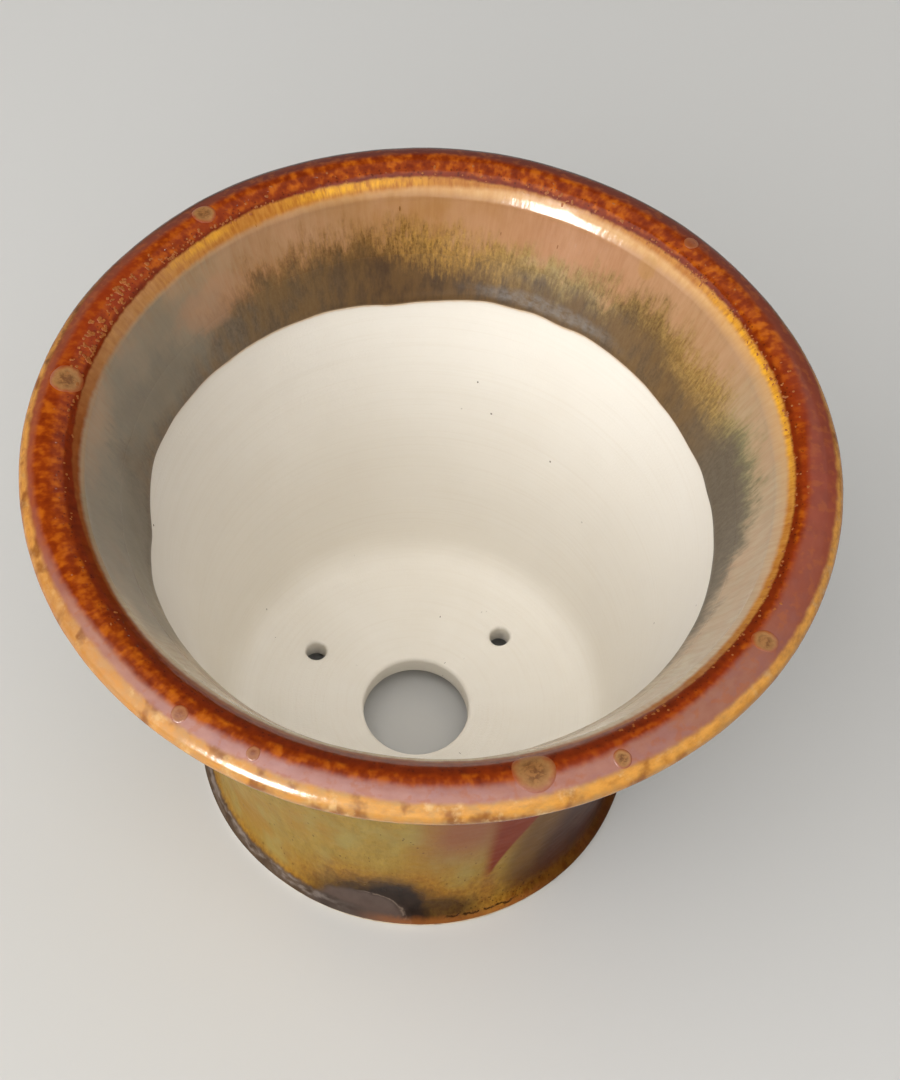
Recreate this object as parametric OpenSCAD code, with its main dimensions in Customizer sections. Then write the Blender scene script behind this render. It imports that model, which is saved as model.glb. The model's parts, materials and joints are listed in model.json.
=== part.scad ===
/* [Pot] */
// Diameter over the glazed lip
rim_d = 150; // [144:0.5:156]
// Height from the foot to the crest of the lip
pot_h = 113.5; // [110:0.5:120]
// Diameter of the foot where it stands
foot_d = 97; // [96:0.5:102]
// Thickness of the floor
floor_t = 5.3; // [4.5:0.1:7]
// Thickness of the wall halfway up
wall_t = 5.4; // [4.5:0.1:6]

/* [Foot ring] */
// Height of the foot ring, and of the recess that it encloses
foot_h = 5.2; // [4:0.1:7]
// Width of the foot ring
foot_w = 6.5; // [5:0.1:8]

/* [Lip] */
// Width of the lip, from its inner corner to its outer edge
lip_w = 11.2; // [10:0.1:13]
// Height of the crest over the inner corner
lip_rise = 3.2; // [2:0.1:4]
// Thickness of the lip's outer edge
edge_t = 3.6; // [3:0.1:5]

/* [Holes] */
// Diameter of the drain hole in the middle of the floor
drain_d = 24; // [20:0.5:30]
// Diameter of the holes for the tie wires
wire_d = 4.6; // [3:0.1:6]
// Distance between the wire holes along X
wire_dx = 42.8; // [40:0.2:46]
// Distance between the wire holes along Y
wire_dy = 32.8; // [30:0.2:36]
// Bevel on the upper edge of the drain hole
drain_bevel = 0.8; // [0.4:0.1:1.2]
// Bevel on the upper edge of each wire hole
wire_bevel = 0.5; // [0.3:0.1:0.8]

/* [Glaze] */
// Thickness of the glaze coats
glaze_t = 0.8; // [0.5:0.1:1.2]
// Depth of the inner glaze line below the crest of the lip
line_drop = 25.5; // [22:0.5:30]
// Height of the bare edge at the bottom of the foot
bare_h = 1.2; // [0.8:0.1:2]

/* [Hidden] */
$fn = 180;

// Steps in each curve of the outline
steps = 7;

// Heights and radii that the outline of the bare clay passes through
foot_r = foot_d / 2;
floor_z = foot_h + floor_t;
seam_r = foot_r - 2.2;
crest_z = pot_h - glaze_t;
edge_r = rim_d / 2 - glaze_t;
edge_z = crest_z - 2.4;
corner_r = edge_r - lip_w + glaze_t;
corner_z = crest_z - lip_rise;
line_z = pot_h - line_drop;
line_r = corner_r - 9.2;
floor_r = foot_r - 13;
mid_z = 45;
mid_in_r = foot_r - 3;
mid_out_r = mid_in_r + wall_t - glaze_t;

// Each curve is a cubic Bezier of four [radius, height] points
foot_curve = [[foot_r, bare_h], [foot_r - 0.3, bare_h + 1.6],
              [seam_r + 0.5, foot_h - 1.6], [seam_r, foot_h]];
wall_curve = [[seam_r, foot_h], [seam_r - 1.3, foot_h + 8],
              [mid_out_r - 2.4, mid_z - 13], [mid_out_r, mid_z]];
belly_curve = [[mid_out_r, mid_z], [mid_out_r + 3.3, mid_z + 18],
               [edge_r - 17, crest_z - 31], [edge_r - 12.6, crest_z - 19]];
flare_curve = [[edge_r - 12.6, crest_z - 19], [edge_r - 10.6, crest_z - 13.5],
               [edge_r - 7, crest_z - 7], [edge_r - 1.2, edge_z - edge_t / 2 + 0.4]];
edge_curve = [[edge_r - 1.2, edge_z - edge_t / 2 + 0.4], [edge_r + 0.4, edge_z - 0.6],
              [edge_r + 0.4, edge_z + 1.1], [edge_r - 1.8, edge_z + edge_t / 2 - 0.2]];
crest_curve = [[edge_r - 1.8, edge_z + edge_t / 2 - 0.2], [edge_r - 4.2, crest_z + 0.3],
               [corner_r + 3.4, crest_z + 0.4], [corner_r + 1, corner_z + 1]];
corner_curve = [[corner_r + 1, corner_z + 1], [corner_r + 0.3, corner_z + 0.3],
                [corner_r - 0.2, corner_z - 0.6], [corner_r - 0.8, corner_z - 1.9]];
collar_curve = [[corner_r - 0.8, corner_z - 1.9], [corner_r - 3.6, corner_z - 8],
                [line_r + 2.4, line_z + 7.5], [line_r, line_z]];
bare_curve = [[line_r, line_z], [line_r - 4.2, line_z - 13],
              [mid_in_r + 2.3, mid_z + 16], [mid_in_r, mid_z]];
inside_curve = [[mid_in_r, mid_z], [mid_in_r - 1.8, mid_z - 13],
                [floor_r + 7.6, floor_z + 15], [floor_r + 6.8, floor_z + 8]];
fillet_curve = [[floor_r + 6.8, floor_z + 8], [floor_r + 6.2, floor_z + 3],
                [floor_r + 4.6, floor_z], [floor_r, floor_z]];

OUTLINE = [foot_curve, wall_curve, belly_curve, flare_curve, edge_curve, crest_curve,
           corner_curve, collar_curve, bare_curve, inside_curve, fillet_curve];

// Numbers of the outline's points where one coat or solid meets the next
at_seam = steps;
at_edge = 4 * steps;
at_corner = 7 * steps;
at_line = 8 * steps;
at_floor = 11 * steps;

// Crystal blooms in the glaze of the lip: [angle, radius from the axis, diameter]
BLOOMS = [[164, 68, 6], [124, 69, 4.5], [277, 68.5, 8], [317, 69.5, 4.5],
          [37, 70.5, 4], [227, 71, 3.5], [238, 71, 3], [288, 70, 3.5]];

// Point of a cubic Bezier at t
function bezier(c, t) = pow(1 - t, 3) * c[0] + 3 * pow(1 - t, 2) * t * c[1]
                      + 3 * (1 - t) * t * t * c[2] + pow(t, 3) * c[3];

// Unit normal of a path at point i, out of the clay
function normal(path, i) =
    let (a = path[max(i - 1, 0)], b = path[min(i + 1, len(path) - 1)], d = b - a)
    [d[1], -d[0]] / norm(d);

// Outline of the clay, from the bare edge of the foot over the lip to the floor
clay_line = concat([OUTLINE[0][0]],
                   [for (c = OUTLINE) for (i = [1:steps]) bezier(c, i / steps)]);

// The same outline, one coat of glaze further out
glaze_line = [for (i = [0:len(clay_line) - 1]) clay_line[i] + glaze_t * normal(clay_line, i)];

// Part of a path between two of its points
function stretch(path, a, b) = a < b ? [for (i = [a:b]) path[i]] : [for (i = [a:-1:b]) path[i]];

// A coat of glaze on the outline between two of its points
module coat(a, b) {
    rotate_extrude() polygon(concat(stretch(clay_line, a, b), stretch(glaze_line, b, a)));
}

// A round hole through the floor with a bevelled upper edge
module floor_hole(d, bevel) {
    translate([0, 0, foot_h - 1]) cylinder(d = d, h = floor_t + 2);
    translate([0, 0, floor_z - bevel]) cylinder(d1 = d, d2 = d + 4 * bevel, h = 2 * bevel);
}

module at_wire_holes() {
    for (x = [-1, 1], y = [-1, 1]) translate([x * wire_dx / 2, y * wire_dy / 2, 0]) children();
}

// Upright pins that mark out where the blooms are
module bloom_pins() {
    for (b = BLOOMS) rotate(b[0]) translate([b[1], 0, edge_z - 1]) cylinder(d = b[2], h = 8);
}

module clay_body() {
    color("#ece4d4") difference() {
        rotate_extrude() polygon(concat([[0, foot_h]], stretch(clay_line, at_seam, at_floor),
                                        [[0, floor_z]]));
        floor_hole(drain_d, drain_bevel);
        at_wire_holes() floor_hole(wire_d, wire_bevel);
    }
}

module foot_ring() {
    color("#d9cbb0") rotate_extrude()
        polygon(concat([[seam_r - foot_w, foot_h], [foot_r - foot_w, bare_h],
                        [foot_r - foot_w + bare_h, 0], [foot_r - bare_h / 2, 0],
                        [foot_r, bare_h / 2]],
                       stretch(clay_line, 0, at_seam)));
}

module outer_glaze() {
    color("#8b6b25") coat(at_seam, at_edge);
}

module foot_glaze() {
    color("#a0602a") coat(0, at_seam);
}

module lip_glaze() {
    color("#8e3a12") difference() {
        coat(at_edge, at_corner);
        bloom_pins();
    }
}

module collar_glaze() {
    color("#8f7a5c") coat(at_corner, at_line);
}

module crystal_blooms() {
    color("#c49a62") intersection() {
        coat(at_edge, at_corner);
        bloom_pins();
    }
}

clay_body();
foot_ring();
outer_glaze();
foot_glaze();
lip_glaze();
collar_glaze();
crystal_blooms();
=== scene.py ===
"""Looks of a wheel-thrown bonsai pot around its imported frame.

The pot is a stack of lathed shells. Its outline is walked from the bare edge of the foot, up the outside,
over the lip and down the inside; `along` is the distance walked in millimetres, and `around` is the angle
about Z in degrees. Colours are sRGB values from 0 to 255.
"""
import json
import math
import bmesh
import bpy
import numpy as np
from mathutils import Matrix, Vector


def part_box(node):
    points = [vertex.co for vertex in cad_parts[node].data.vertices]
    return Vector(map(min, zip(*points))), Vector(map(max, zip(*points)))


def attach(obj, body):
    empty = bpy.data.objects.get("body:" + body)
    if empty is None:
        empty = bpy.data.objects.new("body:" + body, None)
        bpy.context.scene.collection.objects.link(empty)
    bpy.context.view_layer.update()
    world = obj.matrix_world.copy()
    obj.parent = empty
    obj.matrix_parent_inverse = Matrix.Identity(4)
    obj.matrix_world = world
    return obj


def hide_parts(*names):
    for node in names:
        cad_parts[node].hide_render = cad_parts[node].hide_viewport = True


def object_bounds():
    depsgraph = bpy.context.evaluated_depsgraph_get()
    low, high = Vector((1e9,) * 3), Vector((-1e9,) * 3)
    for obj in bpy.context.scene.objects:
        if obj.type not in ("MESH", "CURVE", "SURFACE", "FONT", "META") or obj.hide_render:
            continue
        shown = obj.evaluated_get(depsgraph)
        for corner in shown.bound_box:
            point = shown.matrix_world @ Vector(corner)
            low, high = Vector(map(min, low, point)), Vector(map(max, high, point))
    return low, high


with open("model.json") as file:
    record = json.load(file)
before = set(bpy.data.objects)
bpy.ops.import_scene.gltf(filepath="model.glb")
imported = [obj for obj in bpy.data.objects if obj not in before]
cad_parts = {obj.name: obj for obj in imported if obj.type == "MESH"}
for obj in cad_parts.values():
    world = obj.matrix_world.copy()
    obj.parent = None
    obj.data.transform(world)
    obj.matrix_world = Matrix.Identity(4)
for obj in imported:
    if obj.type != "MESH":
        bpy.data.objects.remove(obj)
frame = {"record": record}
cad_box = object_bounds()
MM = 0.001

# ---------------------------------------------------------------- sizes from the frame, in millimetres


def box_mm(node):
    low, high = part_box(node)
    return np.array(low) / MM, np.array(high) / MM


mounts = {m["name"]: m for m in frame["record"]["mounts"]}
clay_low, clay_high = box_mm("clay_body")
ring_high = box_mm("foot_ring")[1]
collar_low = box_mm("collar_glaze")[0]

FOOT_H = clay_low[2]
FOOT_R = ring_high[0]
EDGE_R = clay_high[0]
CREST_Z = clay_high[2]
GLAZE_T = cad_box[1][2] / MM - CREST_Z
DRAIN_R = mounts["drain_hole"]["dims"]["r_mm"]
WIRE_R = mounts["wire_hole_1"]["dims"]["r_mm"]
WIRE_AT = [np.array(m["pos_m"]) / MM for name, m in mounts.items() if name.startswith("wire_hole")]
# Sizes that the frame doesn't hold
FLOOR_T = 5.3
FLOOR_Z = FOOT_H + FLOOR_T
BARE_H = 1.2
FOOT_W = 6.5
SEAM_R = FOOT_R - 2.2
EDGE_Z = CREST_Z - 2.4
EDGE_T = 3.6
CORNER_R = EDGE_R - 10.4
CORNER_Z = CREST_Z - 3.2
LINE_Z = collar_low[2]
LINE_R = CORNER_R - 9.2
FLOOR_R = FOOT_R - 13
MID_Z = 45.0
MID_IN_R = FOOT_R - 3
MID_OUT_R = MID_IN_R + 4.6

# ---------------------------------------------------------------- the outline

# Points on each curve, and the spacing of the whole outline's points in millimetres
CURVE_STEPS = 60
STEP = 0.1


def bezier(points, steps=CURVE_STEPS):
    p = np.array(points, float)
    t = np.linspace(0, 1, steps + 1)[:, None]
    return (1 - t) ** 3 * p[0] + 3 * (1 - t) ** 2 * t * p[1] + 3 * (1 - t) * t**2 * p[2] + t**3 * p[3]


START = (FOOT_R, BARE_H)
# Each curve's two handles and its end. It starts where the one before it ends.
CURVES = {
    "foot": [(FOOT_R - 0.3, BARE_H + 1.6), (SEAM_R + 0.5, FOOT_H - 1.6), (SEAM_R, FOOT_H)],
    "wall": [(SEAM_R - 1.3, FOOT_H + 8), (MID_OUT_R - 2.4, MID_Z - 13), (MID_OUT_R, MID_Z)],
    "belly": [(MID_OUT_R + 3.3, MID_Z + 18), (EDGE_R - 17, CREST_Z - 31), (EDGE_R - 12.6, CREST_Z - 19)],
    "flare": [(EDGE_R - 10.6, CREST_Z - 13.5), (EDGE_R - 7, CREST_Z - 7),
              (EDGE_R - 1.2, EDGE_Z - EDGE_T / 2 + 0.4)],
    "edge": [(EDGE_R + 0.5, EDGE_Z - 0.6), (EDGE_R + 0.5, EDGE_Z + 1.1),
             (EDGE_R - 1.8, EDGE_Z + EDGE_T / 2 - 0.2)],
    "crest": [(EDGE_R - 4.2, CREST_Z + 0.3), (CORNER_R + 3.4, CREST_Z + 0.4), (CORNER_R + 1, CORNER_Z + 1)],
    "corner": [(CORNER_R + 0.3, CORNER_Z + 0.3), (CORNER_R - 0.2, CORNER_Z - 0.6),
               (CORNER_R - 0.8, CORNER_Z - 1.9)],
    "collar": [(CORNER_R - 3.6, CORNER_Z - 8), (LINE_R + 2.4, LINE_Z + 7.5), (LINE_R, LINE_Z)],
    "bare": [(LINE_R - 4.2, LINE_Z - 13), (MID_IN_R + 2.3, MID_Z + 16), (MID_IN_R, MID_Z)],
    "inside": [(MID_IN_R - 1.8, MID_Z - 13), (FLOOR_R + 7.6, FLOOR_Z + 15), (FLOOR_R + 6.8, FLOOR_Z + 8)],
    "fillet": [(FLOOR_R + 6.2, FLOOR_Z + 3), (FLOOR_R + 4.6, FLOOR_Z), (FLOOR_R, FLOOR_Z)],
}


def even(path, step=STEP):
    """A path's points, spaced evenly."""
    gone = np.concatenate([[0], np.cumsum(np.hypot(*np.diff(path, axis=0).T))])
    at = np.linspace(0, gone[-1], max(2, int(gone[-1] / step)) + 1)
    return np.stack([np.interp(at, gone, path[:, 0]), np.interp(at, gone, path[:, 1])], 1)


def softened(path, width):
    """A path with its corners rounded over about `width` millimetres. Its ends stay."""
    half = int(width / STEP)
    bell = np.exp(-0.5 * (np.arange(-3 * half, 3 * half + 1) / half) ** 2)
    bell /= bell.sum()
    before, after = 2 * path[0] - path[3 * half:0:-1], 2 * path[-1] - path[-2:-3 * half - 2:-1]
    padded = np.concatenate([before, path, after])
    return np.stack([np.convolve(padded[:, k], bell, "valid") for k in (0, 1)], 1)


skin = np.array([START])
for curve in CURVES.values():
    skin = np.concatenate([skin, bezier([skin[-1], *curve])[1:]])
SKIN = softened(even(skin), 0.8)
slope = np.gradient(SKIN, axis=0)
slope /= np.hypot(*slope.T)[:, None]
NORMAL = np.stack([slope[:, 1], -slope[:, 0]], 1)
GONE = np.concatenate([[0], np.cumsum(np.hypot(*np.diff(SKIN, axis=0).T))])


def reach(name):
    """How far along the outline a curve ends."""
    end = skin[(list(CURVES).index(name) + 1) * CURVE_STEPS]
    return float(GONE[np.argmin(np.hypot(*(SKIN - end).T))])


SEAM, EDGE, CORNER, LINE = (reach(n) for n in ("foot", "flare", "corner", "collar"))
END = float(GONE[-1])


def ripple(around, along, seed, waves, turns, pitch):
    """Smooth noise from about -1 to 1: up to `turns` waves round the pot, each `pitch` mm or more long."""
    rng = np.random.default_rng(seed)
    total = np.zeros(np.broadcast(around, along).shape)
    for _ in range(waves):
        k = rng.integers(0, turns + 1)
        m = rng.uniform(-1, 1) * 2 * math.pi / pitch
        total = total + np.cos(np.radians(around) * k + along * m + rng.uniform(0, 2 * math.pi))
    return total / math.sqrt(waves / 2) / 1.6


def bump_at(value, middle, width):
    return np.exp(-(((value - middle) / width) ** 2))


def warp(around, along):
    """How far the thrown clay stands off its true outline, in mm."""
    slow = ripple(around, along, 3, 7, 4, 90.0) * 0.16
    return slow + ripple(around, along, 4, 14, 9, 22.0) * 0.05


def lip_wave(around, along):
    """The lip's height wanders a little."""
    near_lip = np.clip((along - 95) / 15, 0, 1) * np.clip((150 - along) / 15, 0, 1)
    return ripple(around, 0 * along, 8, 4, 4, 90.0) * 0.18 * near_lip


# How far along the outline the inner glaze reaches, by angle
GLAZE_LINE = [
    (0, 149.8), (12, 150.6), (25, 151.0), (40, 150.3), (60, 150.4), (73, 150.6), (80, 151.6), (90, 152.5),
    (101, 151.6), (120, 151.0), (148, 150.8), (160, 150.3), (168, 151.6), (178, 155.4), (185, 153.4),
    (195, 150.6), (215, 149.0), (250, 149.6), (280, 148.2), (300, 145.6), (318, 146.9), (330, 147.8),
    (342, 149.1)]
# Where the glaze pools or thins: distance along the outline, width and change in depth
POOLS = [(LINE - 7, 6, 0.30), (117.0, 2.2, -0.18), (126.0, 1.2, -0.12), (128.5, 0.6, 0.12)]


def glaze_line(around):
    turns = np.array(GLAZE_LINE, float)
    around_all = np.concatenate([turns[:, 0] - 360, turns[:, 0], turns[:, 0] + 360])
    fine = np.arange(-360, 720, 0.5)
    line = np.interp(fine, around_all, np.tile(turns[:, 1], 3))
    bell = np.exp(-0.5 * (np.arange(-12, 13) / 4.0) ** 2)
    line = np.convolve(line, bell / bell.sum(), "same")
    return np.interp(np.mod(around, 360), fine, line) + ripple(around, 0 * around, 12, 12, 40, 50.0) * 0.14


def glaze_depth(around, along):
    """Thickness of the glaze: thin where it runs off the lip's edges, thick where it pools."""
    depth = GLAZE_T + ripple(around, along, 21, 16, 14, 16.0) * 0.05
    depth = depth + ripple(around, along, 22, 30, 60, 3.2) * 0.018
    for at, width, change in POOLS:
        depth = depth + change * bump_at(along, at, width)
    return np.maximum(depth, 0.25)


def place(around, along, off):
    """Points `off` mm outside the clay, as an (..., 3) array in mm."""
    r = np.interp(along, GONE, SKIN[:, 0])
    z = np.interp(along, GONE, SKIN[:, 1])
    nr = np.interp(along, GONE, NORMAL[:, 0])
    nz = np.interp(along, GONE, NORMAL[:, 1])
    off = off + warp(around, along)
    r, z = r + nr * off, z + nz * off + lip_wave(around, along)
    a = np.radians(around)
    return np.stack([r * np.cos(a), r * np.sin(a), z], -1)


# ---------------------------------------------------------------- meshes

# Radius of the cylinder that the outline is wound on for the textures, in millimetres
WRAP_R = 60.0


def add_object(name, data):
    thing = bpy.data.objects.new(name, data)
    bpy.context.scene.collection.objects.link(thing)
    return thing


def grid_mesh(name, points, around, along, sharp_rows=()):
    """A mesh from rows of points, closed round the pot and from its last row back to its first."""
    rows, cols = points.shape[:2]
    index = np.arange(rows * cols).reshape(rows, cols)
    below = np.roll(index, -1, 0)
    quads = np.stack([index, np.roll(index, -1, 1), np.roll(below, -1, 1), below], -1).reshape(-1, 4)
    mesh = bpy.data.meshes.new(name)
    mesh.from_pydata((points.reshape(-1, 3) * MM).tolist(), [], quads.tolist())
    around, along = (np.broadcast_to(v, (rows, cols)) for v in (around, along))
    add_wrap(mesh, around, along)
    mesh.shade_smooth()
    add_number(mesh, "gap", np.abs(glaze_line(around) - along))
    if len(sharp_rows):
        mark_sharp(mesh, index, sharp_rows)
    return add_object(name, mesh)


def add_wrap(mesh, around, along):
    """Gives a mesh the place of each point on the outline, as a vector wound on a cylinder, in mm."""
    a = np.radians(around.ravel())
    wrap = np.stack([WRAP_R * np.cos(a), WRAP_R * np.sin(a), along.ravel()], -1)
    layer = mesh.attributes.new("wrap", "FLOAT_VECTOR", "POINT")
    layer.data.foreach_set("vector", wrap.astype(np.float32).ravel())


def add_number(mesh, name, values):
    layer = mesh.attributes.new(name, "FLOAT", "POINT")
    layer.data.foreach_set("value", values.astype(np.float32).ravel())


def mark_sharp(mesh, index, rows):
    """Makes the edges along these rows sharp."""
    in_row = np.full(index.size, -1)
    for row in rows:
        in_row[index[row]] = row % index.shape[0]
    ends = np.empty(len(mesh.edges) * 2, np.int32)
    mesh.edges.foreach_get("vertices", ends)
    ends = in_row[ends.reshape(-1, 2)]
    sharp = (ends[:, 0] >= 0) & (ends[:, 0] == ends[:, 1])
    layer = mesh.attributes.new("sharp_edge", "BOOLEAN", "EDGE")
    layer.data.foreach_set("value", sharp)


def angles(count):
    return np.linspace(0, 360, count, endpoint=False)[None, :]


def coat(name, start, stop, cols, pitch, ends=(False, False)):
    """A shell of glaze from `start` to `stop` along the outline. A free end rounds down to the clay."""
    around = angles(cols)
    start, stop = (np.broadcast_to(v, (1, cols)) for v in (start, stop))
    rows = int((np.max(stop) - np.min(start)) / pitch)
    t = np.linspace(0, 1, rows + 1)
    if ends[1]:
        t = np.sin(t * math.pi / 2) ** 0.9
    if ends[0]:
        t = 1 - np.sin((1 - t) * math.pi / 2) ** 0.9
    along = start + (stop - start) * t[:, None]
    turns = np.broadcast_to(around, along.shape)
    depth = glaze_depth(turns, along)
    for free, gap in zip(ends, (along - start, stop - along)):
        if free:
            inside = np.clip(gap / 0.9, 0, 1)
            depth = depth * np.sqrt(1 - (1 - inside) ** 2) + 0.12 * bump_at(gap, 1.6, 1.0)
            depth = np.where(gap < 1e-6, -0.05, depth)
    outer = place(turns, along, depth)
    back_rows = max(6, rows // 8)
    back = along[np.linspace(rows, 0, back_rows).astype(int)]
    inner = place(np.broadcast_to(around, back.shape), back, -0.08)
    points = np.concatenate([outer, inner])
    sharp = [i for i, free in zip((0, rows), ends) if not free]
    return grid_mesh(name, points, around, np.concatenate([along, back]), sharp_rows=sharp)


# ---------------------------------------------------------------- material graphs


def srgb(r, g, b):
    """A linear colour from 0 to 255 sRGB values."""
    def linear(v):
        v /= 255
        return v / 12.92 if v <= 0.04045 else ((v + 0.055) / 1.055) ** 2.4
    return (linear(r), linear(g), linear(b), 1.0)


class Graph:
    """A material under construction. Its methods add nodes and return their outputs."""

    def __init__(self, name):
        self.material = bpy.data.materials.new(name)
        self.material.use_nodes = True
        self.tree = self.material.node_tree
        self.tree.nodes.clear()
        self.wrap = self.add("ShaderNodeAttribute", attribute_name="wrap").outputs["Vector"]
        parts = self.add("ShaderNodeSeparateXYZ")
        self.put(parts.inputs[0], self.wrap)
        self.east, self.north, self.along = parts.outputs
        self.colour = None

    def add(self, kind, **settings):
        node = self.tree.nodes.new(kind)
        for key, value in settings.items():
            setattr(node, key, value)
        return node

    def put(self, socket, value):
        """Links an output or sets a number or colour."""
        if isinstance(value, bpy.types.NodeSocket):
            self.tree.links.new(value, socket)
        else:
            socket.default_value = srgb(*value) if isinstance(value, tuple) else value

    def attribute(self, name):
        return self.add("ShaderNodeAttribute", attribute_name=name).outputs["Fac"]

    def math(self, operation, a, b=0.0, clamp=False):
        node = self.add("ShaderNodeMath", operation=operation, use_clamp=clamp)
        self.put(node.inputs[0], a)
        self.put(node.inputs[1], b)
        return node.outputs[0]

    def plus(self, a, b):
        return self.math("ADD", a, b)

    def times(self, first, *others):
        for other in others:
            first = self.math("MULTIPLY", first, other)
        return first

    def flip(self, mask):
        return self.math("SUBTRACT", 1.0, mask)

    def sway(self, noise, amount):
        """Noise about its middle, times an amount."""
        return self.times(self.math("SUBTRACT", noise, 0.5), amount)

    def step(self, value, edge, soft):
        """0 below the edge and 1 above it, over `soft` to each side."""
        node = self.add("ShaderNodeMapRange", interpolation_type="SMOOTHSTEP")
        self.put(node.inputs["Value"], value)
        for end, side in (("From Min", -soft), ("From Max", soft)):
            at = self.plus(edge, side) if isinstance(edge, bpy.types.NodeSocket) else edge + side
            self.put(node.inputs[end], at)
        return node.outputs["Result"]

    def span(self, value, low, high, soft):
        """1 between low and high, with soft ends."""
        return self.math("SUBTRACT", self.step(value, low, soft), self.step(value, high, soft), clamp=True)

    def texture(self, kind, size, stretch, seed):
        """A texture in units of `size` mm, drawn out along the outline and moved by its seed."""
        at = self.add("ShaderNodeVectorMath", operation="MULTIPLY_ADD")
        self.put(at.inputs[0], self.wrap)
        at.inputs[1].default_value = (1 / size, 1 / size, 1 / (size * stretch))
        at.inputs[2].default_value = (seed, seed * 1.7, seed * 0.6)
        node = self.add(kind)
        self.put(node.inputs["Vector"], at.outputs[0])
        node.inputs["Scale"].default_value = 1.0
        return node

    def noise(self, size, detail=3.0, rough=0.5, stretch=1.0, twist=0.0, seed=0.0):
        """Noise of about `size` mm."""
        node = self.texture("ShaderNodeTexNoise", size, stretch, seed)
        for name, value in (("Detail", detail), ("Roughness", rough), ("Distortion", twist)):
            node.inputs[name].default_value = value
        return node.outputs["Fac"]

    def spots(self, edge, soft, size, **more):
        """1 where noise is above an edge."""
        return self.step(self.noise(size, **more), edge, soft)

    def wander(self, size, amount, **more):
        """Noise from about -amount to +amount."""
        return self.sway(self.noise(size, **more), amount * 4)

    def dots(self, size, share, stretch=1.0, seed=0.0):
        """1 near scattered points about `size` mm apart, out to a share of that."""
        cells = self.texture("ShaderNodeTexVoronoi", size, stretch, seed)
        return self.math("LESS_THAN", cells.outputs["Distance"], share)

    def between(self, kind, first, amount, a, b):
        node = self.add("ShaderNodeMix", data_type=kind)
        for socket, value in zip((0, first, first + 1), (amount, a, b)):
            self.put(node.inputs[socket], value)
        return node

    def mix(self, amount, a, b):
        """Between two colours."""
        return self.between("RGBA", 6, amount, a, b).outputs[2]

    def blend(self, amount, a, b):
        """Between two numbers."""
        return self.between("FLOAT", 2, amount, a, b).outputs[0]

    def over(self, base, mask, colour, share=1.0):
        """A colour laid over a base where the mask is 1."""
        return self.mix(mask if share == 1.0 else self.times(mask, share), base, colour)

    def paint(self, mask, colour, share=1.0):
        """Lays a colour over the graph's own."""
        self.colour = self.over(self.colour, mask, colour, share)

    def sector(self, middle, half, soft):
        """1 within `half` degrees of an angle, fading over `soft` degrees."""
        a = math.radians(middle)
        east = self.times(self.east, math.cos(a) / WRAP_R)
        north = self.times(self.north, math.sin(a) / WRAP_R)
        far = math.cos(math.radians(min(half + soft, 180)))
        near = math.cos(math.radians(max(half - soft, 0)))
        return self.step(self.plus(east, north), (far + near) / 2, (near - far) / 2)

    def turn(self, middle):
        """Signed angle from `middle`, in degrees."""
        a = math.radians(middle)
        ahead = self.plus(self.times(self.east, math.cos(a)), self.times(self.north, math.sin(a)))
        aside = self.plus(self.times(self.north, math.cos(a)), self.times(self.east, -math.sin(a)))
        return self.times(self.math("ARCTAN2", aside, ahead), 180 / math.pi)

    def by_angle(self, *stops):
        """A colour or a grey for each angle round the pot, from (angle, colour) or (angle, grey) stops."""
        stops = sorted(stops)
        node = self.add("ShaderNodeValToRGB")
        self.put(node.inputs["Fac"], self.math("FRACT", self.plus(self.times(self.turn(0), 1 / 360), 1.0)))
        last, first = stops[-1], stops[0]
        share = (360 - last[0]) / (360 - last[0] + first[0])
        seam = tuple((1 - share) * p + share * q for p, q in zip(self.shade(last[1]), self.shade(first[1])))
        ramp = node.color_ramp
        ramp.interpolation = "EASE"
        ramp.elements[0].position, ramp.elements[0].color = 0.0, seam
        ramp.elements[1].position, ramp.elements[1].color = 1.0, seam
        for angle, value in stops:
            ramp.elements.new(angle / 360).color = self.shade(value)
        return node.outputs["Color"]

    @staticmethod
    def shade(value):
        return srgb(*value) if isinstance(value, tuple) else (value, value, value, 1.0)

    def level(self, *stops):
        """A number for each angle round the pot, from (angle, number) stops."""
        values = [v for _, v in stops]
        low, room = min(values), max(max(values) - min(values), 1e-6)
        ramp = self.by_angle(*((a, (v - low) / room) for a, v in stops))
        return self.plus(self.times(ramp, room), low)

    def patch(self, middle, at, half_turn, half_along, ragged=None, soft=0.25):
        """1 within an oval round (middle, at), with soft and perhaps ragged edges."""
        across = self.times(self.turn(middle), 1 / half_turn)
        down = self.times(self.math("SUBTRACT", self.along, at), 1 / half_along)
        away = self.math("SQRT", self.plus(self.times(across, across), self.times(down, down)))
        if ragged is not None:
            away = self.plus(away, ragged)
        return self.flip(self.step(away, 1.0, soft))

    def either(self, *masks):
        """The greatest of some masks."""
        result = masks[0]
        for mask in masks[1:]:
            result = self.math("MAXIMUM", result, mask)
        return result

    def bump(self, height, distance, below=None):
        node = self.add("ShaderNodeBump")
        node.inputs["Strength"].default_value = 1.0
        node.inputs["Distance"].default_value = distance * MM
        self.put(node.inputs["Height"], height)
        if below is not None:
            self.put(node.inputs["Normal"], below)
        return node.outputs["Normal"]

    def surface(self, roughness, normal, ior=1.5):
        shader = self.add("ShaderNodeBsdfPrincipled")
        for name, value in (("Base Color", self.colour), ("Roughness", roughness), ("Normal", normal)):
            self.put(shader.inputs[name], value)
        shader.inputs["IOR"].default_value = ior
        output = self.add("ShaderNodeOutputMaterial")
        self.put(output.inputs["Surface"], shader.outputs[0])
        return self.material


# ---------------------------------------------------------------- materials


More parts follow.
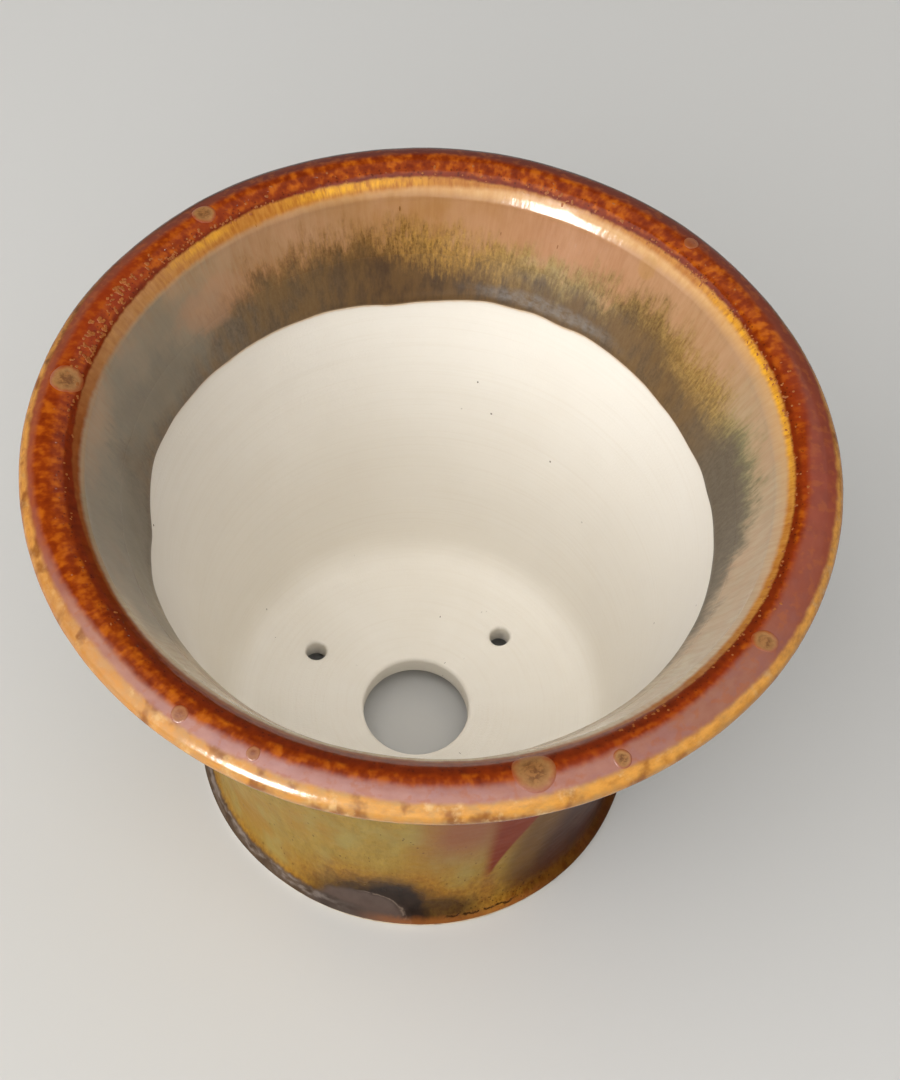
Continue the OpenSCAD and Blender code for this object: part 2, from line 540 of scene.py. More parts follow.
def bare_clay(name):
    """Matte cream stoneware with fine throwing rings and a few dark specks."""
    g = Graph(name)
    g.colour = g.mix(g.noise(38, detail=2, seed=1), (234, 228, 217), (243, 239, 231))
    g.paint(g.noise(9, detail=4, seed=2), (230, 221, 205), 0.25)
    rings = g.noise(60, detail=5, rough=0.75, stretch=0.012, seed=3)
    g.paint(g.step(rings, 0.56, 0.1), (206, 190, 164), 0.08)
    specks = g.dots(5.2, 0.055, seed=5)
    few = g.spots(0.62, 0.04, 14, detail=1, seed=6)
    g.paint(g.times(specks, few), (96, 78, 60))
    halo = g.step(g.plus(g.attribute("gap"), g.wander(2.2, 0.12, seed=4)), 0.45, 0.4)
    shown = g.level((0, 0.75), (180, 0.75), (215, 0.15), (320, 0.15), (345, 0.75))
    g.paint(g.times(g.flip(halo), shown), (206, 164, 104))
    grain = g.bump(g.noise(0.5, seed=7), 0.06)
    normal = g.bump(rings, 0.03, grain)
    return g.surface(g.blend(g.noise(3, seed=8), 0.72, 0.9), normal)


def foot_clay(name):
    """The foot's bare clay, a little browned by the fire and rubbed smooth where it stands."""
    g = Graph(name)
    g.colour = g.mix(g.noise(16, detail=4, seed=1), (196, 176, 144), (222, 208, 182))
    g.paint(g.spots(0.6, 0.12, 3.0, detail=4, seed=2), (134, 98, 62), 0.7)
    normal = g.bump(g.noise(0.7, detail=4, seed=3), 0.08)
    return g.surface(g.blend(g.noise(5, seed=4), 0.5, 0.75), normal)


def lip_colours(g):
    """Paints the lip and collar: gold edge, mauve, amber, a dark line, gold, tan, streaks and taupe."""
    fine = g.wander(1.5, 0.2, detail=4, stretch=1.6, seed=11)
    slow = g.wander(24, 0.35, detail=2, seed=12)
    s = g.plus(g.plus(g.along, fine), slow)
    # The rim that faces outward: mottled gold and brown, partly painted light and shade: paler toward the lit
    # near left and darker on the far side, away from the light
    edge = g.by_angle((0, (160, 104, 52)), (30, (96, 54, 30)), (110, (74, 38, 24)), (140, (120, 66, 34)),
        (160, (170, 110, 58)), (185, (186, 128, 70)), (215, (186, 138, 88)), (262, (184, 142, 86)),
        (300, (180, 132, 74)), (335, (170, 120, 70)))
    edge = g.over(edge, g.spots(0.5, 0.18, 2.2, detail=5, rough=0.6, stretch=0.8, seed=13),
        g.by_angle((0, (96, 50, 20)), (160, (60, 26, 12)), (190, (150, 80, 24)), (230, (214, 140, 48)),
        (300, (196, 124, 36)), (340, (140, 84, 36))), 0.6)
    shine = g.times(g.span(s, 116.4, 118.0, 0.5), g.level((0, 0.6), (20, 0), (140, 0), (165, 0.7),
        (190, 0.7), (208, 0.2), (240, 0.2), (256, 0.9), (345, 0.9)))
    edge = g.over(edge, g.times(shine, g.spots(0.46, 0.22, 2, detail=4, rough=0.65, stretch=0.5, seed=15)),
        (222, 158, 74))
    edge = g.over(edge, g.spots(0.6, 0.08, 4, seed=14), (116, 56, 20), 0.7)
    edge = g.over(edge, g.spots(0.62, 0.1, 2.6, detail=5, rough=0.6, seed=10),
        g.by_angle((0, (150, 110, 76)), (160, (80, 44, 30)), (200, (214, 170, 110)),
        (260, (230, 196, 140)), (320, (200, 166, 120))), 0.6)
    # The mauve band beside it
    mauve = g.by_angle((10, (132, 66, 46)), (50, (112, 58, 44)), (110, (100, 54, 44)),
        (150, (136, 72, 50)), (185, (158, 80, 52)), (210, (174, 124, 104)), (240, (188, 142, 132)),
        (285, (176, 126, 110)), (305, (160, 112, 92)), (330, (148, 80, 60)), (350, (150, 74, 56)))
    mauve = g.over(mauve, g.spots(0.54, 0.1, 4, stretch=0.8, seed=32),
        g.by_angle((0, (120, 60, 46)), (160, (130, 66, 40)), (250, (166, 130, 132))), 0.4)
    mauve = g.over(mauve, g.noise(2.4, detail=4, stretch=0.6, seed=15), (120, 44, 26), 0.45)
    mauve = g.over(mauve, g.spots(0.58, 0.08, 1.5, seed=4), (168, 92, 46), 0.35)
    # Amber, the dark line and the gold inside it
    dashes = g.plus(g.times(g.noise(1.3, detail=2, stretch=1.6, seed=16), 0.55),
        g.times(g.noise(1.9, detail=2, stretch=0.9, seed=7), 0.45))
    amber = g.mix(g.step(dashes, 0.48, 0.18), (112, 34, 0), (162, 68, 4))
    amber = g.over(amber, g.step(dashes, 0.57, 0.1), (204, 112, 20), 0.55)
    ruddy = g.by_angle((0, 0.6), (25, 0.15), (100, 0), (150, 0.7), (175, 0.2), (230, 0), (300, 0.6))
    amber = g.over(amber, g.times(ruddy, g.spots(0.42, 0.14, 9, detail=2, seed=17)), (140, 48, 16))
    dark = g.mix(g.noise(1.2, detail=4, stretch=1.6, seed=18), (78, 20, 1), (146, 52, 6))
    fibre = g.noise(0.8, detail=4, rough=0.6, stretch=4, seed=19)
    gold = g.mix(g.step(fibre, 0.48, 0.3), (168, 98, 34), (208, 146, 64))
    golden = g.level((0, 1), (15, 1), (40, 0.75), (65, 0.6), (95, 0.9), (125, 0.7), (150, 0.35), (180, 0),
        (270, 0), (300, 0.35), (325, 0.9))
    brown = g.mix(g.noise(1.6, detail=4, seed=9), g.by_angle((115, (112, 48, 12)), (145, (136, 88, 56)),
        (175, (112, 48, 12))), g.by_angle((115, (160, 90, 40)), (145, (184, 146, 108)), (175, (160, 90, 40))))
    gold = g.mix(golden, brown, gold)
    yolk = g.either(g.sector(8, 16, 10), g.sector(98, 8, 8), g.times(g.sector(128, 4, 5), 0.6))
    yolk = g.times(yolk, g.step(g.plus(fibre, g.wander(3, 0.1, seed=8)), 0.45, 0.24),
        g.span(g.plus(g.along, g.wander(5, 0.2, seed=6)), 125.1, 126.5, 0.6))
    gold = g.over(gold, yolk, (240, 176, 40), 0.85)
    # Where each band starts along the outline
    mauve_at = g.level((0, 117.5), (60, 117.6), (120, 117.9), (180, 118.1), (230, 118.8), (280, 118.4),
        (320, 117.8))
    amber_at = g.level((0, 121.4), (20, 120.3), (60, 120.2), (110, 120.3), (150, 119.8), (185, 119.2),
        (215, 120.4), (240, 121), (275, 121), (300, 121.8), (330, 122.8), (350, 122.4))
    dark_at = g.level((0, 123.7), (40, 124), (120, 124.2), (160, 124.4), (200, 123.7), (240, 123),
        (280, 122.9), (310, 123.3), (340, 123.6))
    gold_at = g.level((0, 124.7), (60, 124.9), (120, 125), (160, 125.4), (200, 126.4), (280, 126.2),
        (310, 124.9))
    cream_at = g.level((0, 126), (30, 126.2), (60, 125.8), (100, 127.2), (140, 128), (185, 127.4),
        (210, 127.3), (270, 127.2), (300, 126.8))
    g.colour = g.mix(g.step(s, mauve_at, 0.5), edge, mauve)
    g.paint(g.step(s, amber_at, 0.7), amber)
    g.paint(g.step(s, dark_at, 0.45), dark)
    g.paint(g.step(s, gold_at, 0.3), gold)
    # The tan top of the collar, with a cream edge, pits and the ghost of a crystal
    tan = g.by_angle((0, (180, 156, 122)), (25, (182, 142, 104)), (55, (182, 134, 100)),
        (85, (170, 124, 76)), (115, (168, 130, 94)), (135, (160, 136, 106)), (155, (150, 134, 110)),
        (195, (160, 144, 116)), (215, (200, 180, 146)), (300, (204, 188, 160)), (335, (190, 168, 138)))
    tan = g.over(tan, g.spots(0.5, 0.16, 0.8, detail=4, rough=0.6, stretch=8, seed=20), (152, 100, 58), 0.25)
    tan = g.over(tan, g.spots(0.5, 0.14, 7, detail=4, stretch=1.4, seed=33), (196, 152, 118), 0.3)
    cream = g.mix(g.noise(1.2, detail=5, rough=0.65, stretch=3, seed=6), (190, 130, 66), (222, 182, 128))
    cream_side = g.level((0, 0.5), (25, 1), (70, 1), (100, 0.7), (130, 0.3), (160, 0), (300, 0), (330, 0.2))
    tan = g.over(tan, g.times(cream_side, g.flip(g.step(s, 127.8, 1.1))), cream)
    pits = g.times(g.dots(1.9, 0.1, stretch=3.5, seed=5), g.span(g.along, 125.6, 135, 0.6))
    pits = g.times(pits, g.either(g.sector(104, 24, 6), g.sector(72, 14, 6)))
    tan = g.over(tan, pits, (112, 66, 24), 0.75)
    ghost = g.patch(41, 129.2, 1.8, 2.4, g.wander(1.4, 0.1, seed=4), 0.2)
    tan = g.over(tan, ghost, (178, 132, 66), 0.35)
    g.paint(g.step(g.plus(g.along, g.times(fine, 0.9)), cream_at, 0.6), tan)
    # Streaks of olive that run down into taupe
    fur = g.plus(g.times(g.noise(0.75, detail=4, rough=0.65, stretch=5, seed=21), 0.65),
        g.times(g.noise(1.7, stretch=1.6, seed=22), 0.35))
    tufts = g.noise(4.5, stretch=1.5, seed=26)
    start = g.level((0, 133.6), (12, 135), (28, 135.4), (38, 133.6), (47, 137), (62, 137), (78, 137),
        (88, 134.6), (105, 134.4), (122, 135.2), (132, 139), (142, 139), (160, 152), (210, 152),
        (320, 152), (335, 142), (346, 135))
    deep = g.level((0, 136.8), (12, 141), (28, 142), (38, 139), (47, 141.5), (62, 142.5), (75, 143.5),
        (86, 142), (100, 138), (122, 138.5), (135, 141), (150, 136), (180, 137), (210, 144), (250, 146),
        (300, 146), (318, 143.5), (335, 141), (346, 137))
    ragged = g.plus(g.sway(fur, 16), g.sway(tufts, 12))
    down = g.plus(g.along, ragged)
    strand = g.plus(g.times(g.noise(0.6, detail=4, rough=0.7, stretch=3.5, seed=23), 0.6),
        g.times(g.noise(0.5, detail=4, rough=0.7, stretch=1.2, seed=24), 0.4))
    light = g.by_angle((0, (148, 144, 98)), (14, (182, 148, 80)), (38, (158, 128, 72)),
        (55, (172, 152, 98)), (78, (184, 140, 62)), (100, (158, 116, 60)), (130, (176, 126, 80)),
        (335, (150, 138, 108)))
    shadow = g.by_angle((0, (112, 104, 70)), (20, (112, 78, 32)), (38, (70, 48, 22)), (60, (112, 88, 44)),
        (95, (70, 42, 14)), (130, (120, 82, 52)), (335, (120, 110, 84)))
    olive = g.mix(g.step(strand, 0.49, 0.2), shadow, light)
    # The taupe round 212 degrees is pale glaze painted paler still: painted light that lifts the near-left
    # collar out of its shade
    taupe = g.by_angle((0, (116, 104, 86)), (25, (116, 92, 62)), (55, (106, 90, 72)), (90, (84, 62, 42)),
        (115, (110, 90, 66)), (140, (126, 114, 98)), (185, (126, 114, 96)), (212, (236, 218, 186)),
        (270, (192, 178, 154)), (300, (152, 138, 116)), (330, (124, 112, 94)))
    taupe = g.mix(g.times(g.step(strand, 0.5, 0.18), 0.8), g.mix(0.5, taupe, (56, 38, 20)), taupe)
    warm = g.times(g.spots(0.5, 0.14, 3, detail=4, rough=0.6, stretch=2.2, seed=68), g.sector(90, 80, 10))
    taupe = g.over(taupe, warm, (140, 104, 54), 0.3)
    g.paint(g.step(down, start, 4.2), olive, 0.9)
    g.paint(g.step(g.plus(g.along, g.times(ragged, 0.8)), deep, 4.0), taupe)
    # A grey patch at the left, a blush, a painted highlight of grey speckle near the glaze line, and a pale
    # edge at the glaze line
    # A grey mottled patch on the collar at the left
    grey_mottle = g.mix(g.noise(9, detail=4, seed=25), (116, 107, 94), (146, 136, 116))
    grey_patch = g.either(g.patch(150, 138, 17, 10, g.wander(7, 0.3, seed=27), 0.35),
        g.patch(190, 138, 22, 13, g.wander(9, 0.3, seed=28), 0.4))
    grey_patch = g.times(grey_patch, g.step(g.along, 128.4, 0.5))
    g.paint(grey_patch, grey_mottle, 0.75)
    blush = g.patch(131, 137, 8, 4.5, g.wander(3, 0.25, seed=29), 0.3)
    g.paint(blush, (176, 132, 100), 0.45)
    # Painted highlight: grey speckle that stands in for light caught by the thick glaze roll above the line
    painted_highlight = g.patch(58, 147.3, 15, 1.6, g.wander(3, 0.2, seed=30), 0.5)
    g.paint(g.times(painted_highlight, g.spots(0.45, 0.2, 1.6, detail=5, rough=0.65, stretch=0.6, seed=32)),
        (156, 154, 152), 0.35)
    rim = g.flip(g.step(g.attribute("gap"), 0.55, 0.35))
    shown = g.level((0, 0.7), (180, 0.7), (215, 0.15), (320, 0.15), (345, 0.7))
    g.paint(g.times(rim, shown), (160, 126, 80))


def lip_glaze_material(name):
    g = Graph(name)
    lip_colours(g)
    grain = g.bump(g.noise(1.0, detail=4, stretch=3, seed=33), 0.05)
    band = g.span(g.along, 123.0, 125.2, 0.8)
    pits = g.times(g.dots(0.8, 0.2, seed=31), band)
    g.paint(pits, (70, 20, 2), 0.6)
    normal = g.bump(pits, -0.05, grain)
    glow = g.either(g.flip(g.step(g.along, 119.0, 1.0)), g.span(g.along, 125.6, 129.2, 0.8))
    rough = g.plus(g.blend(g.noise(4, seed=34), 0.12, 0.18), g.times(glow, 0.03))
    rough = g.blend(g.step(g.along, 141, 6), rough, 0.42)
    return g.surface(rough, normal, ior=1.3)


def wall_colours(g):
    """Paints the outside: olive gold, metal at the foot with a painted highlight, a red flash and a
    purple-brown side that is partly painted shade.

    Returns where it is metallic, and its cracks.
    """
    ragged = g.wander(5, 0.1, detail=5, seed=40)
    wide = g.wander(18, 0.9, seed=50)
    fine = g.wander(1.6, 0.4, detail=4, stretch=1.5, seed=41)
    s = g.plus(g.along, fine)
    olive = g.mix(g.noise(3, detail=5, rough=0.7, stretch=3.5, seed=42), (126, 96, 28), (182, 150, 72))
    mossy = g.spots(0.55, 0.1, 0.9, detail=4, rough=0.7, stretch=4, seed=35)
    olive = g.over(olive, mossy, (120, 98, 36), 0.35)
    olive = g.over(olive, g.spots(0.54, 0.14, 17, stretch=1.6, seed=43), (158, 114, 38), 0.7)
    olive = g.over(olive, g.spots(0.58, 0.1, 11, stretch=2.4, seed=39), (156, 142, 82), 0.6)
    specks = g.dots(1.8, 0.15, stretch=2.4, seed=44)
    olive = g.over(olive, g.times(specks, g.spots(0.5, 0.05, 8, seed=45)), (90, 62, 18), 0.7)
    # The brown side and back, with khaki where it begins. At the right the brown and khaki are partly the
    # glaze's own colour and partly painted shade, darker toward the side away from the light
    brown = g.mix(g.noise(5, detail=4, stretch=3, seed=46), (34, 10, 1), (88, 42, 10))
    brown = g.over(brown, g.spots(0.55, 0.1, 13, stretch=2, seed=48), (72, 30, 18), 0.6)
    right = g.step(g.plus(g.turn(288), g.times(wide, 1.4)), 0.0, 4.0)
    right = g.times(right, g.flip(g.step(g.plus(g.turn(352), g.times(wide, 4)), 0.0, 12)))
    back = g.either(g.patch(70, 70, 34, 60, g.times(ragged, 2.4), 0.5),
        g.patch(140, 20, 26, 34, g.times(ragged, 2.4), 0.5))
    g.colour = g.mix(g.either(right, g.times(back, 0.85)), olive, brown)
    khaki = g.mix(g.noise(6, detail=4, stretch=3, seed=53), (96, 64, 26), (128, 92, 42))
    # Partly painted shade: the khaki step from the olive into the dark right side
    khaki_and_shade_band = g.times(g.span(g.plus(g.turn(292), wide), -6, 5, 5), g.step(s, 10, 12))
    g.paint(khaki_and_shade_band, khaki, 0.8)
    # A mauve haze and the red flash that narrows downward
    mauve = g.times(g.span(g.plus(g.turn(276), wide), -11, 5, 6), g.step(s, 38, 18))
    g.paint(mauve, (140, 84, 60), 0.9)
    left_edge = g.plus(g.turn(281), g.times(g.math("SUBTRACT", g.along, 15.0), 0.062))
    right_edge = g.plus(g.turn(281.8), g.times(g.math("SUBTRACT", g.along, 17.0), -0.17))
    flash = g.times(g.step(g.plus(left_edge, ragged), 0.3, 2.0),
        g.flip(g.step(g.plus(right_edge, g.times(ragged, 0.6)), 0.0, 0.5)))
    flash = g.times(flash, g.flip(g.step(g.math("ABSOLUTE", g.turn(284)), 40, 2)))
    flash = g.times(flash, g.flip(g.times(g.step(g.plus(s, g.times(wide, 9)), 88, 26), 0.8)))
    red = g.mix(g.noise(3, detail=4, stretch=3, seed=49), (106, 24, 4), (134, 54, 16))
    g.paint(g.times(flash, g.step(s, 18, 4)), red)
    faint = g.times(g.span(g.turn(282.5), -1.8, 1.8, 1.2), g.span(s, 3, 19, 4))
    g.paint(faint, (120, 72, 48), 0.5)
    # Amber round the metallic patches, and the ash on them
    blotch = g.plus(ragged, g.wander(9, 0.2, seed=54))
    halo = g.either(g.patch(254, 6, 26, 22, blotch, 0.4), g.patch(275, 6, 13, 14, blotch, 0.5),
        g.patch(60, 4, 60, 16, blotch, 0.5), g.patch(150, 3, 50, 12, blotch, 0.5))
    amber = g.mix(g.spots(0.5, 0.2, 1.4, detail=5, rough=0.65, stretch=1.8, seed=47), (120, 68, 10),
        (170, 120, 40))
    low = g.times(g.flip(g.step(s, 6.5, 3.5)), g.level((0, 0.5), (60, 1), (200, 1), (286, 0.9), (300, 0.3),
        (330, 0.1)))
    g.paint(g.either(halo, low), amber, 0.75)
    hill = g.either(g.patch(253.5, -2, 19, 20, ragged, 0.36), g.patch(257.5, 6.5, 10, 15, ragged, 0.34),
        g.times(g.patch(267, 3, 13, 9, ragged, 0.4), 0.8))
    metal = g.either(hill, g.patch(52, 2, 22, 11, blotch, 0.22), g.patch(118, 1, 14, 16, blotch, 0.25),
        g.patch(168, 0, 12, 9, blotch, 0.25), g.patch(5, 0, 16, 8, blotch, 0.25))
    black = g.mix(g.noise(3, detail=4, stretch=1.5, seed=38), (22, 15, 11), (56, 42, 34))
    g.paint(metal, black)
    ash = g.either(g.patch(249, 0, 12.5, 10.6, ragged, 0.14), g.patch(48, 4, 10, 5, ragged, 0.2))
    rim = g.math("SUBTRACT", g.patch(249, 0, 13.0, 11.2, ragged, 0.03),
        g.patch(249, 0, 12.5, 10.7, ragged, 0.03), clamp=True)
    g.paint(ash, g.mix(g.noise(4, seed=55), (82, 67, 60), (104, 88, 80)), 0.85)
    rim = g.times(rim, g.step(g.turn(252), -3, 2), g.spots(0.4, 0.05, 3, seed=56))
    g.paint(rim, (140, 122, 106), 0.6)
    # Round the foot: a metallic band with a painted highlight along it, rust, grit and cracks
    band = g.times(g.flip(g.step(s, 3.8, 0.8)), g.sector(210, 40, 8))
    g.paint(band, g.mix(g.noise(5, stretch=0.4, seed=57), (40, 31, 27), (92, 80, 72)), 0.9)
    # Painted highlight: a pale grey streak of reflected light along the metallic band
    band_highlight = g.times(g.span(s, 1.7, 3.2, 0.6), g.sector(213, 26, 12))
    g.paint(g.times(band_highlight, g.spots(0.52, 0.12, 5, detail=4, stretch=0.3, seed=59)), (150, 138, 130), 0.6)
    metal = g.either(metal, band)
    rust = g.times(g.flip(g.step(s, 2.2, 1.0)), g.sector(276, 20, 9))
    g.paint(rust, (156, 92, 42), 0.6)
    grit = g.times(g.dots(1.2, 0.24, seed=58), g.span(s, 1.5, 9, 2.5), g.sector(300, 26, 8))
    g.paint(grit, (48, 26, 12), 0.55)
    seams = g.either(g.sector(281, 9, 2), g.sector(70, 14, 3), g.sector(150, 6, 2))
    cracks = g.times(g.span(g.plus(g.along, g.wander(2.0, 0.5, detail=4, seed=37)), 2.1, 2.5, 0.1), seams)
    cracks = g.times(cracks, g.spots(0.44, 0.04, 2.4, seed=36))
    g.paint(cracks, (30, 14, 4), 0.8)
    return metal, cracks


def wall_glaze_material(name):
    g = Graph(name)
    metal, cracks = wall_colours(g)
    normal = g.bump(g.noise(1.2, stretch=2, seed=51), 0.05, g.bump(cracks, -0.15))
    rough = g.blend(metal, g.blend(g.noise(6, seed=52), 0.3, 0.42), 0.24)
    return g.surface(rough, normal, ior=1.09)


def crystal_material(name):
    """Tan crystals with a paler rim, a brown middle and dark veins, sunk into the glaze at their edge."""
    g = Graph(name)
    away = g.plus(g.attribute("spread"), g.wander(1.4, 0.12, detail=4, seed=60))
    veins = g.noise(1.1, detail=5, rough=0.7, twist=0.6, seed=61)
    middle = g.mix(g.step(veins, 0.53, 0.1), (112, 68, 30), (158, 108, 58))
    rim = g.mix(g.noise(0.7, seed=62), (142, 94, 46), (178, 132, 78))
    g.colour = g.mix(g.step(away, 0.52, 0.26), middle, rim)
    glaze = g.mix(g.step(g.along, 120.6, 0.7), (150, 84, 62), (150, 62, 12))
    sunk = g.either(g.step(away, 0.8, 0.24), g.times(g.sector(37.5, 4, 2), 0.7),
        g.times(g.sector(232, 12, 4), 0.5))
    g.paint(sunk, glaze)
    normal = g.bump(g.noise(0.5, detail=4, seed=63), 0.06)
    return g.surface(g.blend(g.noise(2, seed=64), 0.28, 0.5), normal, ior=1.4)


def fleck_material(name):
    """The small tan crystals along the dark line of the lip."""
    g = Graph(name)
    g.colour = g.mix(g.noise(1.5, seed=65), (124, 58, 16), (182, 110, 48))
    return g.surface(g.blend(g.noise(1, seed=67), 0.4, 0.6), g.bump(g.noise(0.4, seed=66), 0.03), ior=1.25)


# ---------------------------------------------------------------- pieces


def finish_piece(piece, material, slot, *nodes):
    piece.data.materials.append(material)
    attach(piece, "root")
    if nodes:
        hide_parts(*nodes)


def renamed(material, name):
    """A copy of a material for another slot."""
    twin = material.copy()
    twin.name = name
    return twin


# The throwing rings, in millimetres
RING_PITCH = 3.1
FINE_PITCH = 1.27
RING_DEPTH = 0.035


def throwing(around, along):
    """Rings left by the fingers on the inside, a long spiral, in mm."""
    spiral = (along + around / 360 * RING_PITCH) * 2 * math.pi
    strength = 0.35 + 0.65 * bump_at(along, 190, 26)
    rings = np.sin(spiral / RING_PITCH) * 0.5 + np.sin(spiral / FINE_PITCH + 1) * 0.3
    return rings * strength * RING_DEPTH * (1 + 0.6 * ripple(around, along, 31, 8, 5, 40.0))


def arc(centre, radius, start, stop, steps=6):
    turn = np.radians(np.linspace(start, stop, steps + 1))
    return np.stack([centre[0] + radius * np.cos(turn), centre[1] + radius * np.sin(turn)], 1)


def make_clay():
    """Floor, wall, collar and lip as one closed shell, with rounded edges on its five holes."""
    cols = 320
    hidden = np.arange(SEAM, LINE - 6, 2.4)
    shown = np.arange(LINE - 6, END, 0.62)
    along = np.concatenate([hidden, shown])[:, None]
    around = angles(cols)
    turns = np.broadcast_to(around, (len(along), cols))
    far = np.broadcast_to(along, turns.shape)
    wall = place(turns, far, throwing(turns, far) * (far > LINE - 3))

    top, low = FLOOR_Z, FOOT_H
    inward = np.arange(FLOOR_R - 0.8, DRAIN_R + 1.2, -0.8)
    flat = np.stack([inward, np.full(len(inward), top)], 1)
    hole = np.concatenate([arc((DRAIN_R + 0.9, top - 0.9), 0.9, 90, 180), [[DRAIN_R, low + 2.4]],
                           arc((DRAIN_R + 0.5, low + 0.5), 0.5, 180, 270)])
    under = np.stack([np.linspace(DRAIN_R + 1.5, SEAM_R, 30), np.full(30, low)], 1)
    path = np.concatenate([flat, hole, under])
    gone = END + np.concatenate([[0.6], 0.6 + np.cumsum(np.hypot(*np.diff(path, axis=0).T))])
    radius = path[:, :1] + ripple(around, 0 * around, 41, 5, 5, 90.0) * 0.08
    turn = np.radians(around)
    ringy = np.where((path[:, 1] == top) | (path[:, 1] == low), 1.0, 0.0)[:, None]
    wobble = np.sin(path[:, :1] * 2.1 + turn) * 0.5 + ripple(around, path[:, :1], 42, 8, 6, 16.0)
    height = path[:, 1:] + wobble * 0.02 * ringy
    floor = np.stack([radius * np.cos(turn), radius * np.sin(turn), height + 0 * turn], -1)
    points = np.concatenate([wall, floor])
    steps = np.concatenate([along[:, 0], gone])[:, None]
    piece = grid_mesh("thrown_body", points, around, steps)
    drill_wire_holes(piece)
    return piece


def drill_wire_holes(piece):
    """Cuts the wire holes with a flared cutter, so that their edges come out rounded."""
    top, low = FLOOR_Z, FOOT_H
    path = np.concatenate([[[WIRE_R + 2.0, top + 1.5], [WIRE_R + 0.9, top + 0.25]],
                           arc((WIRE_R + 0.7, top - 0.65), 0.7, 90, 180, 5),
                           arc((WIRE_R + 0.5, low + 0.45), 0.5, 180, 270, 4),
                           [[WIRE_R + 0.7, low - 0.25], [WIRE_R + 2.0, low - 1.5]]])
    cols = 40
    cutters = []
    for number, at in enumerate(WIRE_AT):
        turn = np.radians(angles(cols))
        ring = path[:, :1] * (1 + 0.03 * np.sin(turn * 2 + number * 2.1))
        x, y = at[0] + ring * np.cos(turn), at[1] + ring * np.sin(turn)
        points = np.stack([x, y, path[:, 1:] + 0 * turn], -1)
        mesh = bpy.data.meshes.new("cutter")
        index = np.arange(points.shape[0] * cols).reshape(-1, cols)
        here, below = index[:-1], index[1:]
        sides = np.stack([here, below, np.roll(below, -1, 1), np.roll(here, -1, 1)], -1).reshape(-1, 4)
        faces = sides.tolist() + [index[0].tolist(), index[-1][::-1].tolist()]
        mesh.from_pydata((points.reshape(-1, 3) * MM).tolist(), [], faces)
        mesh.shade_smooth()
        cutter = add_object("cutter", mesh)
        cut = piece.modifiers.new("wire_hole", "BOOLEAN")
        cut.operation, cut.object, cut.solver = "DIFFERENCE", cutter, "EXACT"
        cutters.append(cutter)
    depsgraph = bpy.context.evaluated_depsgraph_get()
    drilled = bpy.data.meshes.new_from_object(piece.evaluated_get(depsgraph))
    piece.modifiers.clear()
    old, piece.data = piece.data, drilled
    bpy.data.meshes.remove(old)
    for cutter in cutters:
        bpy.data.objects.remove(cutter)


def make_foot_ring():
    """The bare ring that the pot stands on."""
    pitch = 0.35
    path = even(np.concatenate([
        [[SEAM_R - FOOT_W, FOOT_H]], arc((FOOT_R - FOOT_W + 1.3, 1.3), 1.3, 180, 270),
        arc((FOOT_R - 0.45, 0.45), 0.45, -90, 0), bezier([START, *CURVES["foot"]], 12),
        [[SEAM_R, FOOT_H]]]), pitch)
    around = angles(360)
    lift = ripple(around, path[:, 1:] * 3, 51, 10, 12, 9.0) * 0.05 * (path[:, 1:] > 0.3)
    turn = np.radians(around)
    radius = path[:, :1] + lift + warp(around, 0 * path[:, :1]) * (path[:, :1] > FOOT_R - 3)
    points = np.stack([radius * np.cos(turn), radius * np.sin(turn), path[:, 1:] + 0 * turn], -1)
    steps = -np.arange(len(path))[:, None] * pitch
    return grid_mesh("turned_foot", points, around, steps)


# Round crystals in the lip's glaze: angle, distance along the outline, half-width
BLOOMS = [(164, 122.4, 3.1), (124, 121.2, 2.3), (277, 122.2, 3.7), (317, 120.9, 2.2), (37.5, 120.5, 1.5),
          (227.5, 120.0, 1.5), (239, 120.2, 1.2), (289, 119.9, 1.6)]


def disc_points(around, along, half, rings, spokes, height, seed):
    """Crystals' points from their middles out, lying on the glaze, with the share of the way out."""
    rng = np.random.default_rng(seed)
    around, along, half, height = (np.asarray(v, float)[:, None, None]
                                   for v in (around, along, half, height))
    turn = np.linspace(0, 2 * math.pi, spokes, endpoint=False)[None, None, :]
    share = (np.arange(rings + 1) / rings)[None, :, None]
    edge = 1
    for k in (2, 3, 5, 8):
        size = rng.uniform(0.01, 0.09, half.shape) / k
        edge = edge + size * np.cos(k * turn + rng.uniform(0, 6.3, half.shape))
    out = half * share * edge
    s = along + out * np.sin(turn)
    a = around + np.degrees(out * np.cos(turn) / np.interp(s, GONE, SKIN[:, 0]))
    rise = height * (0.35 + 0.65 * bump_at(share, 0.8, 0.22)) * np.sqrt(np.clip(1 - share**8, 0, 1))
    rise = np.where(share > 0.995, -0.06, rise)
    return place(a, s, glaze_depth(a, s) + rise), a, s, share + 0 * a


def disc_mesh(name, at, around, along, share):
    """One mesh of many discs, from what disc_points gives."""
    count, _, spokes = share.shape
    index = np.arange(share.size).reshape(share.shape)
    here, beyond = index[:, 1:-1], index[:, 2:]
    quads = np.stack([here, beyond, np.roll(beyond, -1, 2), np.roll(here, -1, 2)], -1).reshape(-1, 4)
    middle = np.broadcast_to(index[:, 0, :1], (count, spokes))
    fans = np.stack([middle, index[:, 1], np.roll(index[:, 1], -1, 1)], -1).reshape(-1, 3)
    mesh = bpy.data.meshes.new(name)
    mesh.from_pydata((at.reshape(-1, 3) * MM).tolist(), [], quads.tolist() + fans.tolist())
    add_wrap(mesh, around, along)
    add_number(mesh, "spread", share)
    add_number(mesh, "gap", np.full(share.shape, 20.0))
    mesh.shade_smooth()
    work = bmesh.new()
    work.from_mesh(mesh)
    bmesh.ops.delete(work, geom=[v for v in work.verts if not v.link_faces], context="VERTS")
    work.to_mesh(mesh)
    work.free()
    return add_object(name, mesh)


def make_blooms():
    around, along, half = np.array(BLOOMS, float).T
    height = np.full(len(half), 0.08)
    return disc_mesh("crystal_discs", *disc_points(around, along, half, 14, 56, height, 70))


FLECKS = 620


